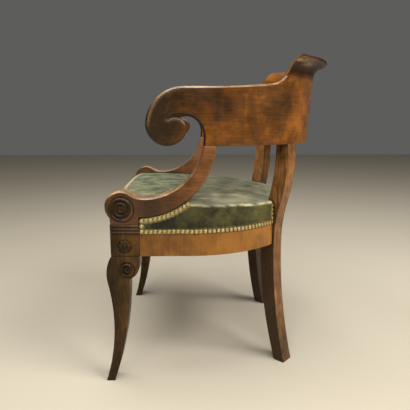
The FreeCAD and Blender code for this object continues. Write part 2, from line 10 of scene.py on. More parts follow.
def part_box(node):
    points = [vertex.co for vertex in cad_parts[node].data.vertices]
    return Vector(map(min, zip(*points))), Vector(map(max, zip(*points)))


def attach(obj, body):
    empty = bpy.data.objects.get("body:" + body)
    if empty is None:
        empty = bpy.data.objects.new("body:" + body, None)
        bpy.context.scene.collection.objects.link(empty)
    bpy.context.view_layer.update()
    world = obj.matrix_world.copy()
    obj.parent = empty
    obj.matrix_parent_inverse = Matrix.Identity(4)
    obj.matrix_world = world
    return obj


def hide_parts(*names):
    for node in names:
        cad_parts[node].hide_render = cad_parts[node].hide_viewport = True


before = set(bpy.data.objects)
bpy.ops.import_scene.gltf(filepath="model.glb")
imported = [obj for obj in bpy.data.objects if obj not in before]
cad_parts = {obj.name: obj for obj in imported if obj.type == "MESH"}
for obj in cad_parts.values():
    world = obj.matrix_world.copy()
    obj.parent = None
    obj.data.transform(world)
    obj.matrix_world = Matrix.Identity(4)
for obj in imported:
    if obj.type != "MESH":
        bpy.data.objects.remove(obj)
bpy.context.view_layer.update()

bl_info = {
    "name": "Desk armchair looks",
    "version": (1, 0, 0),
    "blender": (4, 5, 0),
    "location": "3D View > Sidebar > Armchair",
    "description": "Dresses the packed desk armchair with wood, carving, leather and brass",
    "category": "Object",
}

MM = 0.001
BODY = "root"
X, Z = Vector((1, 0, 0)), Vector((0, 0, 1))
SIDES = ("left", "right")
QUARTER_TURN = math.radians(90)
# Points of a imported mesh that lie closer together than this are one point.
MERGE = 0.02 * MM


def linear(code):
    """Linear colour, with alpha, from an sRGB hex code."""
    parts = [int(code[i:i + 2], 16) / 255 for i in (0, 2, 4)]
    return tuple(c / 12.92 if c <= 0.04045 else ((c + 0.055) / 1.055) ** 2.4 for c in parts) + (1.0,)


def colour(name, words, code):
    """Colour property with a hex default."""
    return bpy.props.FloatVectorProperty(
        name=name, description=words, default=linear(code), size=4, min=0.0, max=1.0, subtype="COLOR")


def length(name, words, millimetres):
    """Length property with a default in millimetres."""
    return bpy.props.FloatProperty(name=name, description=words, default=millimetres * MM, unit="LENGTH")


class ArmchairColours(bpy.types.PropertyGroup):
    """Colours of the woods, the leather, the brass and the stage."""
    figured_dark: colour("Figured, dark", "Dark clouds in the veneer of arms, back and crest", "2f1f0a")
    figured_mid: colour("Figured, middle", "Main tone of that veneer", "623910")
    figured_light: colour("Figured, light", "Bright clouds in that veneer", "9a5a19")
    support_dark: colour("Support, dark", "Dark streaks in the arm supports", "3a220a")
    support_mid: colour("Support, middle", "Main tone of the arm supports", "5a3718")
    support_light: colour("Support, light", "Light streaks in the arm supports", "83532d")
    leg_dark: colour("Front leg, dark", "Dark streaks in the front legs", "1d1306")
    leg_mid: colour("Front leg, middle", "Main tone of the front legs", "39260c")
    leg_light: colour("Front leg, light", "Light streaks in the front legs", "5a3c17")
    rear_dark: colour("Rear leg, dark", "Dark streaks in the rear legs", "37240f")
    rear_mid: colour("Rear leg, middle", "Main tone of the rear legs", "6a4521")
    rear_light: colour("Rear leg, light", "Light streaks in the rear legs", "9c6a3a")
    rail_dark: colour("Rail, dark", "Dark streaks in the seat rails", "664019")
    rail_mid: colour("Rail, middle", "Main tone of the seat rails", "7f5322")
    rail_light: colour("Rail, light", "Light streaks in the seat rails", "9c6626")
    # Painted shade: the crest's roll, which faces down and out, and the arms' forward-looking edges are darkened
    # in their colour.
    painted_shade_tone: colour("Painted shade", "Shade painted on the crest's roll and the arms' front edges", "200e04")
    wax: colour("Old wax", "Dark wax in grooves and joints", "120b06")
    # Partly real wear and partly painted highlight: laid on faces that look up, as a band under the crest's lip
    # and as a line round the scrolls.
    worn_edge_and_highlight: colour("Worn edges and highlights", "Polish rubbed through and highlights painted along the edges", "c99f70")
    border_dark: colour("Leather border, dark", "Main tone of the leather's sides", "212012")
    border_light: colour("Leather border, light", "Faded clouds on the leather's sides", "686330")
    front_dark: colour("Leather front, dark", "Hollows of the less worn front of the top", "394638")
    front_light: colour("Leather front, light", "Rubbed parts of the front of the top", "8d9069")
    top_dark: colour("Leather top, dark", "Hollows of the worn top", "494a38")
    # Partly painted sheen: the rubbed streaks at the back of the top are lighter, as a sheen would make them.
    top_light_and_sheen: colour("Leather top, light", "Rubbed parts of the worn top, partly painted sheen", "89866b")
    top_border: colour("Leather top, border", "Paler border round the top", "92937a")
    nail_stain: colour("Leather at the nails", "Old polish caught between the nails", "8f7b48")
    leather_edge: colour("Leather edge", "Leather worn pale along its upper edge", "bfb083")
    gilding: colour("Gilding", "Remains of gilt lines on the leather", "a5946a")
    brass: colour("Brass", "Rubbed crowns of the nails", "dcca98")
    brass_dull: colour("Brass, dull", "Tarnish round the nails", "8a7540")
    beech: colour("Beech", "Unpolished blocks and dowels", "b08a5a")
    beech_fleck: colour("Beech flecks", "Darker flecks in the beech", "8a683f")
    jute: colour("Jute", "Webbing and hessian under the seat", "9c8461")
    jute_shade: colour("Jute shade", "Gaps between the threads", "5c4c36")
    floor: colour("Floor", "Plain pale floor", "cabfa9")
    studio: colour("Studio", "Light from all round", "d2d2cf")


class ArmchairSizes(bpy.types.PropertyGroup):
    """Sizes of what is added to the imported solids."""
    block_depth: length("Leg block depth", "Square block at the top of a front leg, front to back", 68.0)
    volute_back: length("Volute back", "Arm volute's centre behind the block's front", 27.0)
    volute_rise: length("Volute rise", "Arm volute's centre above the leg", 36.0)
    volute_radius: length("Volute radius", "Outermost cut line of an arm volute", 31.5)
    knee_back: length("Knee volute back", "Knee volute's centre behind the block's front", 36.0)
    knee_drop: length("Knee volute drop", "Knee volute's centre below the leg's top", 112.5)
    knee_radius: length("Knee volute radius", "Outermost cut line of a knee volute", 20.5)
    spiral_pitch: length("Spiral pitch", "Step from one turn of a volute to the next", 10.0)
    bead_width: length("Bead width", "Rounded band between a volute's cut lines", 7.4)
    bead_height: length("Bead height", "Rounded band above the wood", 3.6)
    rosette_back: length("Rosette back", "Rosette's centre behind the block's front", 33.0)
    rosette_drop: length("Rosette drop", "Rosette's centre below the leg's top", 53.0)
    petal_length: length("Petal length", "Petals of the rosettes", 11.0)
    petal_width: length("Petal width", "Petals of the rosettes, across", 9.0)
    petal_height: length("Petal height", "Petals above the wood", 1.5)
    eye_radius: length("Eye radius", "Round eye of a rosette", 4.5)
    reed_band: length("Reeded band", "Height of the three reeds at the top of a leg", 23.0)
    reed_swell: length("Reed swell", "How far the reeds stand out of the leg", 1.0)
    eased_edge: length("Eased edges", "Rounding of most edges in the wood's shading", 1.8)
    rounded_edge: length("Rounded edges", "The same on the arm supports, which hands have rounded", 5.0)
    scroll_edge: length("Scroll edges", "The same on the scrolls of the arms", 14.0)
    nail_radius: length("Nail head radius", "Domed brass heads", 5.4)
    nail_height: length("Nail head height", "Dome above the leather", 2.3)
    voxel: length("Leather mesh", "Spacing of the leather's mesh before it is refined", 5.0)
    leather: length("Leather", "Leather outside the stuffing", 2.4)
    puff: length("Leather puff", "Most that the stuffing pushes the leather out", 3.0)
    gather: length("Leather gathers", "How deep the nails pull the leather in", 0.5)


def both(*names):
    """Names of the left and the right hand node."""
    return [name + "_" + side for name in names for side in SIDES]


def clamp(value):
    """Value kept between 0 and 1."""
    return min(1.0, max(0.0, value))


def deselect():
    """Leaves edit mode and selects nothing."""
    if bpy.context.object and bpy.context.object.mode != "OBJECT":
        bpy.ops.object.mode_set(mode="OBJECT")
    bpy.ops.object.select_all(action="DESELECT")


def activate(piece):
    """Makes a piece the only selected and active object."""
    deselect()
    piece.select_set(True)
    bpy.context.view_layer.objects.active = piece


def edit_all(piece):
    """Opens a piece in edit mode with all of it selected."""
    activate(piece)
    bpy.ops.object.mode_set(mode="EDIT")
    bpy.ops.mesh.select_all(action="SELECT")


def scale_to(piece, scale):
    """Scales a piece and bakes its scale and place into its mesh."""
    activate(piece)
    piece.scale = scale
    bpy.ops.object.transform_apply(location=True, rotation=True, scale=True)


def apply_modifiers(piece):
    """Applies a piece's modifiers in order."""
    activate(piece)
    for modifier in list(piece.modifiers):
        bpy.ops.object.modifier_apply(modifier=modifier.name)


def mirror_to_right(piece):
    """Adds the right hand twin of a piece that was made on the left."""
    modifier = piece.modifiers.new("Twin", "MIRROR")
    modifier.use_axis = (True, False, False)
    modifier.use_clip = False
    modifier.use_mirror_merge = False
    apply_modifiers(piece)


def join(pieces):
    """Joins pieces into the first one."""
    deselect()
    for piece in pieces:
        piece.select_set(True)
    bpy.context.view_layer.objects.active = pieces[0]
    bpy.ops.object.join()
    return bpy.context.object


def finish_piece(piece, name, material):
    """Bakes a piece's place into its mesh, names it and hangs it on the chair."""
    activate(piece)
    bpy.ops.object.transform_apply(location=True, rotation=True, scale=True)
    piece.name = name
    piece.data.name = name
    piece.data.materials.clear()
    piece.data.materials.append(material)
    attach(piece, BODY)


def store(piece, name, values):
    """Stores a number on each point of a piece, for its material to read."""
    piece.data.attributes.new(name, "FLOAT", "POINT").data.foreach_set("value", values)


def finder(points):
    """Search tree that finds the nearest of some points."""
    tree = KDTree(len(points))
    for number, point in enumerate(points):
        tree.insert(point, number)
    tree.balance()
    return tree


def dress(nodes, material):
    """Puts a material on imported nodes, which keep their shape."""
    for name in nodes:
        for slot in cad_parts[name].material_slots:
            slot.material = material


# Materials

def add(tree, kind, inputs, **settings):
    """Adds a node and returns its outputs. An input takes a value, or another node's output as a link."""
    node = tree.nodes.new("ShaderNode" + kind)
    for name, value in settings.items():
        setattr(node, name, value)
    for name, value in inputs.items():
        if isinstance(value, bpy.types.NodeSocket):
            tree.links.new(value, node.inputs[name])
        else:
            node.inputs[name].default_value = value
    return node.outputs


def new_material(name):
    """Material with no nodes yet, and its node tree."""
    material = bpy.data.materials.new(name)
    material.use_nodes = True
    material.node_tree.nodes.clear()
    return material, material.node_tree


def finish_material(tree, finish):
    """Ends a material: the finish goes on the shader's own sockets, and the shader to the output."""
    shader = add(tree, "BsdfPrincipled", finish)
    add(tree, "OutputMaterial", {"Surface": shader["BSDF"]})


def per(millimetres):
    """Texture scale, per metre, for features of a real size."""
    return 1.0 / (millimetres * MM)


# Sockets of a fade, in the order in which its numbers are given.
FADE = ("Value", "From Min", "From Max", "To Min", "To Max")


def overlay(tree, under, over, *masks):
    """Lays one colour over another as far as all the masks let it.

    A mask is a value, the start and the end of its fade, and the share that it gives at the end.
    """
    share = None
    for value, start, end, most in masks:
        mask = add(tree, "MapRange", {"Value": value, "From Min": start, "From Max": end,
                                      "To Max": most})["Result"]
        share = add(tree, "Math", {0: share, 1: mask}, operation="MULTIPLY")[0] if share else mask
    return add(tree, "MixRGB", {"Fac": share, "Color1": under, "Color2": over})["Color"]


def add_fades(tree, total, *fades):
    """Adds fades to a total. A fade is a value, the start and the end of its range, and what it adds at each."""
    for fade in fades:
        step = add(tree, "MapRange", dict(zip(FADE, fade)))["Result"]
        total = add(tree, "Math", {0: total, 1: step}, operation="ADD")[0]
    return total


def chair_place(tree):
    """Where a point is on the chair: across, from front to back, and up."""
    return add(tree, "SeparateXYZ", {"Vector": add(tree, "TexCoord", {})["Object"]})


def face_normal(tree):
    """Which way a face looks: across, from front to back, and up."""
    return add(tree, "SeparateXYZ", {"Vector": add(tree, "NewGeometry", {})["Normal"]})


def bend():
    """Depth of the centre of the bend of arms and back, and its outer radius."""
    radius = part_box("arm_board_left")[1].x
    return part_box("back_board")[1].y - radius, radius


def bend_ray(tree):
    """Level ray from the centre of the bend to a point on the chair."""
    centre, radius = bend()
    place = chair_place(tree)
    depth = add(tree, "Math", {0: place["Y"], 1: centre}, operation="SUBTRACT")[0]
    return add(tree, "CombineXYZ", {"X": place["X"], "Y": depth})["Vector"]


def bend_coordinates(tree):
    """Coordinates unrolled along the bend of arms and back, mirrored as matched veneers are."""
    centre, radius = bend()
    ray = bend_ray(tree)
    ends = add(tree, "SeparateXYZ", {"Vector": ray})
    angle = add(tree, "Math", {0: ends["X"], 1: ends["Y"]}, operation="ARCTAN2")[0]
    turn = add(tree, "Math", {0: angle}, operation="ABSOLUTE")[0]
    along = add(tree, "Math", {0: turn, 1: radius}, operation="MULTIPLY")[0]
    reach = add(tree, "VectorMath", {0: ray}, operation="LENGTH")["Value"]
    return add(tree, "CombineXYZ", {"X": along, "Y": chair_place(tree)["Z"], "Z": reach})["Vector"]


def cross_bend_coordinates(tree):
    """The same coordinates with the grain upright."""
    return add(tree, "Mapping", {"Vector": bend_coordinates(tree), "Rotation": (0, 0, QUARTER_TURN)})["Vector"]


def upright_coordinates(tree):
    """Object coordinates turned so that X runs up the grain of a leg."""
    place = add(tree, "TexCoord", {})["Object"]
    return add(tree, "Mapping", {"Vector": place, "Rotation": (0, QUARTER_TURN, 0)})["Vector"]


def lengthways_coordinates(tree):
    """Object coordinates turned so that X runs along the grain from front to back."""
    place = add(tree, "TexCoord", {})["Object"]
    return add(tree, "Mapping", {"Vector": place, "Rotation": (0, 0, QUARTER_TURN)})["Vector"]


def patch(tree, place, centre, reach, amount):
    """Soft oval patch: an amount at its centre that fades to nothing at its edge, through the whole board."""
    through = 1000.0
    oval = add(tree, "Mapping", {"Vector": place, "Location": centre + (0.0,), "Scale": reach + (through,)},
               vector_type="TEXTURE")["Vector"]
    gap = add(tree, "VectorMath", {0: oval}, operation="LENGTH")["Value"]
    return add(tree, "MapRange", {"Value": gap, "To Min": amount, "To Max": 0.0},
               interpolation_type="SMOOTHSTEP")["Result"]


# Centre and reach of the veneer's clouds, along the bend and up in metres, and how much lighter each one is. The
# last, bright one where the back turns is a painted patch of light, where light from behind falls.
VENEER_CLOUDS_AND_LIGHT = (
    ((0.45, 0.700), (0.100, 0.060), -0.05),
    ((0.45, 0.605), (0.140, 0.060), 0.06),
    ((0.277, 0.685), (0.085, 0.080), -0.14),
    ((0.195, 0.660), (0.060, 0.150), 0.10),
)


def veneer_light(tree, place):
    """Where the matched veneers are darker or lighter: dark scrolls, a step at the seam, clouds, and a painted
    patch of light where the back turns.
    """
    centre, radius = bend()
    seam = radius * math.atan2(radius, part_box("arm_board_left")[1].y - centre)
    scroll = (0.47, 0.57)
    along = add(tree, "SeparateXYZ", {"Vector": place})["X"]
    light = add(tree, "MapRange", dict(zip(FADE, (along, *scroll, 0.0, -0.14))))["Result"]
    light = add_fades(tree, light, (along, seam - MM, seam + MM, 0.02, -0.02))
    for cloud in VENEER_CLOUDS_AND_LIGHT:
        light = add(tree, "Math", {0: light, 1: patch(tree, place, *cloud)}, operation="ADD")[0]
    return light


def shaded_towards_front(front, rear):
    """Painted shade and light: wood darker towards its front end and lighter towards its back."""
    def light(tree, place):
        return add(tree, "MapRange", dict(zip(FADE, (chair_place(tree)["Y"], front, rear, -0.06, 0.10))))["Result"]
    return light


def outward(tree):
    """How much a face looks away from the centre of the bend, from -1 to 1."""
    ray = add(tree, "VectorMath", {0: bend_ray(tree)}, operation="NORMALIZE")["Vector"]
    normal = add(tree, "NewGeometry", {})["Normal"]
    return add(tree, "VectorMath", {0: ray, 1: normal}, operation="DOT_PRODUCT")["Value"]


def lit_and_shaded_faces(tree, place):
    """Rear legs, with painted light and shade: pale on the faces that look in and out, dark on the sawn sides that
    look back and towards the floor, most of all low on the inner faces.
    """
    facing = outward(tree)
    side = add(tree, "Math", {0: face_normal(tree)["Y"], 1: facing}, operation="SUBTRACT")[0]
    height = chair_place(tree)["Z"]
    inner, outer, sawn = (-0.8, -0.4), (0.4, 0.8), (0.4, 0.65)
    leg, foot = (0.24, 0.46), (0.04, 0.18)
    light = add(tree, "MapRange", dict(zip(FADE, (height, *leg, -0.19, 0.0))))["Result"]
    for look, first, last in ((inner, 2.0, 1.0), (outer, 1.0, 0.1)):
        share = add(tree, "MapRange", dict(zip(FADE, (facing, *look, first, last))))["Result"]
        light = add(tree, "Math", {0: light, 1: share}, operation="MULTIPLY")[0]
    return add_fades(tree, light, (facing, *inner, 0.09, 0.02), (facing, *outer, 0.0, 0.03),
                     (side, *sawn, 0.0, -0.12), (height, *foot, -0.12, 0.0))


def outer_roll(tree, shade):
    """Painted shade on the crest's outer side towards the top, where it faces down and out, with a broken band of
    painted highlight under the lip at its ends.
    """
    colours = bpy.context.scene.armchair_colours
    low, high = (corner.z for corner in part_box("crest_rail"))
    at = chair_place(tree)
    outside = (outward(tree), 0.15, 0.40, 1.0)
    # Painted shade: the outer side darkens towards the top, where it faces down and out.
    shade = overlay(tree, shade, colours.painted_shade_tone, outside, (at["Z"], low - 12 * MM, low + 10 * MM, 0.92))
    under_lip = high - 13 * MM
    gap = add(tree, "Math", {0: at["Z"], 1: under_lip}, operation="SUBTRACT")[0]
    gap = add(tree, "Math", {0: gap}, operation="ABSOLUTE")[0]
    place = add(tree, "TexCoord", {})["Object"]
    streaks = add(tree, "Mapping", {"Vector": place, "Scale": (1.0, 1.0, 5.0)})["Vector"]
    broken = add(tree, "TexNoise", {"Vector": streaks, "Scale": per(45.0), "Detail": 6.0,
                                    "Roughness": 0.65})["Fac"]
    band, near_ends = (10 * MM, MM), (0.24, 0.20)
    # Painted highlight: a broken pale band under the lip, near the crest's ends.
    return overlay(tree, shade, colours.worn_edge_and_highlight, (gap, *band, 1.0), (broken, 0.40, 0.60, 0.7), outside,
                   (at["Y"], *near_ends, 1.0))


def front_edges(tree, shade, soft):
    """Painted shade on the arms' edges that look forward, with a painted highlight line round the scrolls."""
    colours = bpy.context.scene.armchair_colours
    depth = chair_place(tree)["Y"]
    arm, scroll = (-0.01, -0.04), (-0.10, -0.16)
    turned = add(tree, "SeparateXYZ", {"Vector": soft})
    # Painted shade on the forward-looking edges of the arms.
    shade = overlay(tree, shade, colours.painted_shade_tone, (turned["Y"], -0.14, -0.40, 0.95), (depth, *arm, 1.0))
    half_turned = -0.30
    gap = add(tree, "Math", {0: turned["Y"], 1: half_turned}, operation="SUBTRACT")[0]
    gap = add(tree, "Math", {0: gap}, operation="ABSOLUTE")[0]
    # Painted highlight: a pale line round the scrolls' outer edges.
    return overlay(tree, shade, colours.worn_edge_and_highlight, (gap, 0.13, 0.03, 0.75), (depth, *scroll, 1.0),
                   (turned["Z"], -0.10, 0.10, 1.0))


def painted_shade_and_highlights(tree, shade, soft):
    """Painted shade and highlights on the crest's roll and the arms' front edges."""
    return front_edges(tree, outer_roll(tree, shade), soft)


def rounded_scrolls(tree):
    """Edges that hands have rounded on the scrolls, and eased ones on the rest of the arms and on the back."""
    sizes = bpy.context.scene.armchair_sizes
    scroll = (-0.13, -0.03)
    fade = (chair_place(tree)["Y"], *scroll, sizes.scroll_edge, sizes.eased_edge)
    return add(tree, "MapRange", dict(zip(FADE, fade)))["Result"]


def polished_wood(name, tones, coordinates, clouds, lines, polish, wear_and_sheen, light, marks=None, rounding=None):
    """Polished mahogany: soft clouds, close grain, dark wax in hollows, and tops laid pale, partly as wear and
    partly as painted highlight, under a soft gloss.
    """
    colours = bpy.context.scene.armchair_colours
    dark, middle, bright = tones
    material, tree = new_material(name)
    place = coordinates(tree)
    cloud = add(tree, "TexNoise", {"Vector": place, "Scale": per(80.0), "Detail": 2.0, "Distortion": 1.0})["Fac"]
    mottle = add(tree, "TexNoise", {"Vector": place, "Scale": per(20.0), "Detail": 4.0,
                                    "Distortion": 0.6})["Fac"]
    along = add(tree, "Mapping", {"Vector": place, "Scale": (0.08, 1.0, 1.0)})["Vector"]
    # Grain lines of mahogany are under a millimetre apart. They are drawn at 4 mm so that they show.
    grain = add(tree, "TexNoise", {"Vector": along, "Scale": per(4.0), "Detail": 5.0})["Fac"]
    mottling = 0.6 * clouds
    value = 0.5 - 0.5 * (clouds + mottling + lines)
    for pattern, strength in ((cloud, clouds), (mottle, mottling), (grain, lines)):
        value = add(tree, "Math", {0: pattern, 1: strength, 2: value}, operation="MULTIPLY_ADD")[0]
    value = add(tree, "Math", {0: value, 1: light(tree, place)}, operation="ADD")[0]
    shade = overlay(tree, dark, middle, (value, 0.36, 0.50, 1.0))
    shade = overlay(tree, shade, bright, (value, 0.50, 0.64, 1.0))
    radius = rounding(tree) if callable(rounding) else rounding or bpy.context.scene.armchair_sizes.eased_edge
    soft = add(tree, "Bevel", {"Radius": radius}, samples=6)["Normal"]
    # Painted shade and highlights, where the material has them.
    if marks:
        shade = marks(tree, shade, soft)
    hollow = add(tree, "AmbientOcclusion", {"Distance": 7 * MM}, samples=8)["AO"]
    shade = overlay(tree, colours.wax, shade, (hollow, 0.35, 0.92, 1.0))
    open_above = add(tree, "AmbientOcclusion", {"Distance": 60 * MM}, samples=8)["AO"]
    smear = add(tree, "TexNoise", {"Vector": place, "Scale": per(45.0), "Detail": 3.0})["Fac"]
    streaky = add(tree, "Math", {0: grain, 1: 0.7, 2: smear}, operation="MULTIPLY_ADD")[0]
    streaky = add(tree, "MapRange", dict(zip(FADE, (streaky, 0.72, 1.0, 0.3, 1.0))))["Result"]
    # Faces that look up and are open above are laid pale: partly wear, partly painted highlight.
    shade = overlay(tree, shade, colours.worn_edge_and_highlight, (face_normal(tree)["Z"], 0.25, 0.65, wear_and_sheen),
                    (open_above, 0.72, 0.97, 1.0), (streaky, 0.0, 1.0, 1.0))
    gloss = add(tree, "MapRange", dict(zip(FADE, (smear, 0.3, 0.7, 0.26, 0.42))))["Result"]
    bump = add(tree, "Bump", {"Height": grain, "Strength": 0.1, "Distance": 0.4 * MM, "Normal": soft})["Normal"]
    finish_material(tree, {"Base Color": shade, "Roughness": gloss, "Normal": bump, "IOR": 1.5,
                           "Specular IOR Level": 0.1 + 0.2 * polish, "Coat Weight": 0.3 * polish,
                           "Coat Roughness": 0.12})
    return material


def plain_beech():
    """Unpolished beech: pale, dry wood with short flecks."""
    colours = bpy.context.scene.armchair_colours
    material, tree = new_material("sawn_beech")
    place = add(tree, "TexCoord", {})["Object"]
    flecks = add(tree, "Mapping", {"Vector": place, "Scale": (1.0, 0.2, 1.0)})["Vector"]
    noise = add(tree, "TexNoise", {"Vector": flecks, "Scale": per(3.0), "Detail": 4.0})["Fac"]
    shade = overlay(tree, colours.beech_fleck, colours.beech, (noise, 0.35, 0.6, 1.0))
    finish_material(tree, {"Base Color": shade, "Roughness": 0.75})
    return material


def woven_jute(name, thread):
    """Jute: dull brown threads, one over and one under."""
    colours = bpy.context.scene.armchair_colours
    material, tree = new_material(name)
    place = add(tree, "TexCoord", {})["Object"]
    weave = add(tree, "TexChecker", {"Vector": place, "Scale": per(thread), "Color1": colours.jute,
                                     "Color2": colours.jute_shade})
    marks = add(tree, "TexNoise", {"Vector": place, "Scale": per(30.0), "Detail": 4.0})["Fac"]
    shade = overlay(tree, colours.jute_shade, weave["Color"], (marks, 0.2, 0.6, 1.0))
    bump = add(tree, "Bump", {"Height": weave["Fac"], "Strength": 0.6, "Distance": 0.6 * MM})["Normal"]
    finish_material(tree, {"Base Color": shade, "Roughness": 0.9, "Normal": bump})
    return material


def leather_sides(tree, place):
    """Sides of the seat leather: dark and scuffed, lighter towards the back, most at the corners."""
    colours = bpy.context.scene.armchair_colours
    at = chair_place(tree)
    scuff = add(tree, "TexNoise", {"Vector": place, "Scale": per(60.0), "Detail": 8.0, "Roughness": 0.68})["Fac"]
    sideways = add(tree, "Math", {0: at["X"]}, operation="ABSOLUTE")[0]
    rearward, corner = (-0.16, 0.02), (0.12, 0.23)
    paleness = add(tree, "MapRange", dict(zip(FADE, (at["Y"], *rearward, -0.12, 0.03))))["Result"]
    share = add(tree, "MapRange", dict(zip(FADE, (sideways, *corner, 0.3, 1.0))))["Result"]
    paleness = add(tree, "Math", {0: paleness, 1: share, 2: scuff}, operation="MULTIPLY_ADD")[0]
    return overlay(tree, colours.border_dark, colours.border_light, (paleness, 0.38, 0.74, 1.0))


def leather_top(tree, depth, inset, cloud, rub):
    """Top of the seat leather: rubbed, less so at the front, with a paler border and traces of two gilt lines. The
    rubbed streaks at the back are partly painted sheen.
    """
    colours = bpy.context.scene.armchair_colours
    rearward, border = (-0.19, -0.06), (46 * MM, 40 * MM)
    wear_and_sheen = add(tree, "Math", {0: rub, 1: 0.4}, operation="MULTIPLY")[0]
    wear_and_sheen = add(tree, "Math", {0: cloud, 1: 0.6, 2: wear_and_sheen}, operation="MULTIPLY_ADD")[0]
    front = overlay(tree, colours.front_dark, colours.front_light, (wear_and_sheen, 0.40, 0.60, 1.0))
    sat_on_and_sheen = overlay(tree, colours.top_dark, colours.top_light_and_sheen, (wear_and_sheen, 0.38, 0.62, 1.0))
    upper = overlay(tree, front, sat_on_and_sheen, (depth, *rearward, 1.0))
    upper = overlay(tree, upper, colours.gilding, (cloud, 0.56, 0.68, 0.6))
    upper = overlay(tree, upper, colours.top_border, (inset, *border, 0.22))
    for distance, half_width in ((43.0, 1.6), (50.0, 0.8)):
        line = add(tree, "Math", {0: inset, 1: distance * MM, 2: half_width * MM}, operation="COMPARE")[0]
        upper = overlay(tree, upper, colours.gilding, (line, 0.0, 1.0, 1.0), (cloud, 0.42, 0.60, 0.7))
    return upper


def leather_brink(tree, shade, depth, inset, cloud, top, arris):
    """Wears the leather pale along its upper edge: in traces, and all along and wider at the front."""
    colours = bpy.context.scene.armchair_colours
    forward, near_edge = (-0.10, -0.15), (14 * MM, 9 * MM)
    front = add(tree, "MapRange", dict(zip(FADE, (depth, *forward, 0.0, 1.0))))["Result"]
    broken = add(tree, "MapRange", dict(zip(FADE, (cloud, 0.40, 0.56, 0.0, 1.0))))["Result"]
    broken = add(tree, "Math", {0: broken, 1: front}, operation="MAXIMUM")[0]
    brink = add(tree, "MapRange", dict(zip(FADE, (inset, *near_edge, 0.0, 1.0))))["Result"]
    for mask in (front, top):
        brink = add(tree, "Math", {0: brink, 1: mask}, operation="MULTIPLY")[0]
    brink = add(tree, "Math", {0: brink, 1: arris}, operation="MAXIMUM")[0]
    return overlay(tree, shade, colours.leather_edge, (brink, 0.0, 1.0, 1.0), (broken, 0.0, 1.0, 1.0))


def worn_leather():
    """Green seat leather: dark sides, a rubbed top whose back is partly painted sheen, and a worn edge, creased
    and stained at the nails.
    """
    colours = bpy.context.scene.armchair_colours
    material, tree = new_material("worn_green_leather")
    place = add(tree, "TexCoord", {})["Object"]
    depth = chair_place(tree)["Y"]
    top, inset, arris, nailed = (add(tree, "Attribute", {}, attribute_name=name)["Fac"]
                                 for name in ("top", "inset", "arris", "nailed"))
    across = add(tree, "Mapping", {"Vector": place, "Scale": (0.7, 0.5, 1.0)})["Vector"]
    cloud = add(tree, "TexNoise", {"Vector": across, "Scale": per(26.0), "Detail": 6.0, "Roughness": 0.6})["Fac"]
    streaks = add(tree, "Mapping", {"Vector": place, "Scale": (1.0, 0.22, 1.0)})["Vector"]
    rub = add(tree, "TexNoise", {"Vector": streaks, "Scale": per(18.0), "Detail": 7.0, "Roughness": 0.66,
                                 "Distortion": 0.5})["Fac"]
    upper = leather_top(tree, depth, inset, cloud, rub)
    sides = leather_sides(tree, place)
    shade = add(tree, "MixRGB", {"Fac": top, "Color1": sides, "Color2": upper})["Color"]
    shade = leather_brink(tree, shade, depth, inset, cloud, top, arris)
    shade = add(tree, "MixRGB", {"Fac": nailed, "Color1": shade, "Color2": colours.nail_stain})["Color"]
    # Creases of old leather are about 2 mm apart. They are drawn at 5 mm so that they show.
    crease = add(tree, "TexVoronoi", {"Vector": place, "Scale": per(5.0)}, feature="DISTANCE_TO_EDGE")["Distance"]
    crease = add(tree, "MapRange", dict(zip(FADE, (crease, 0.0, 0.10, 0.72, 1.0))))["Result"]
    shade = add(tree, "MixRGB", {"Fac": 1.0, "Color1": shade, "Color2": crease}, blend_type="MULTIPLY")["Color"]
    gloss = add(tree, "MapRange", dict(zip(FADE, (rub, 0.3, 0.7, 0.60, 0.40))))["Result"]
    grain = add(tree, "Bump", {"Height": crease, "Strength": 0.3, "Distance": 0.5 * MM})["Normal"]
    folds = add(tree, "Bump", {"Height": rub, "Strength": 0.35, "Distance": 3 * MM, "Normal": grain})["Normal"]
    finish_material(tree, {"Base Color": shade, "Roughness": gloss, "Normal": folds, "IOR": 1.45,
                           "Specular IOR Level": 0.35})
    return material


def aged_brass():
    """Brass nail heads: rubbed pale on the crowns and dull round the rims."""
    colours = bpy.context.scene.armchair_colours
    material, tree = new_material("aged_brass")
    crown = add(tree, "Attribute", {}, attribute_name="crown")["Fac"]
    place = add(tree, "TexCoord", {})["Object"]
    noise = add(tree, "TexNoise", {"Vector": place, "Scale": per(7.0), "Detail": 3.0})["Fac"]
    amount = add(tree, "Math", {0: noise, 1: 0.8, 2: crown}, operation="MULTIPLY_ADD")[0]
    shade = overlay(tree, colours.brass_dull, colours.brass, (amount, 0.9, 1.4, 1.0))
    gloss = add(tree, "MapRange", dict(zip(FADE, (amount, 0.4, 1.4, 0.65, 0.45))))["Result"]
    finish_material(tree, {"Base Color": shade, "Roughness": gloss, "Metallic": 1.0})
    return material


# Wood

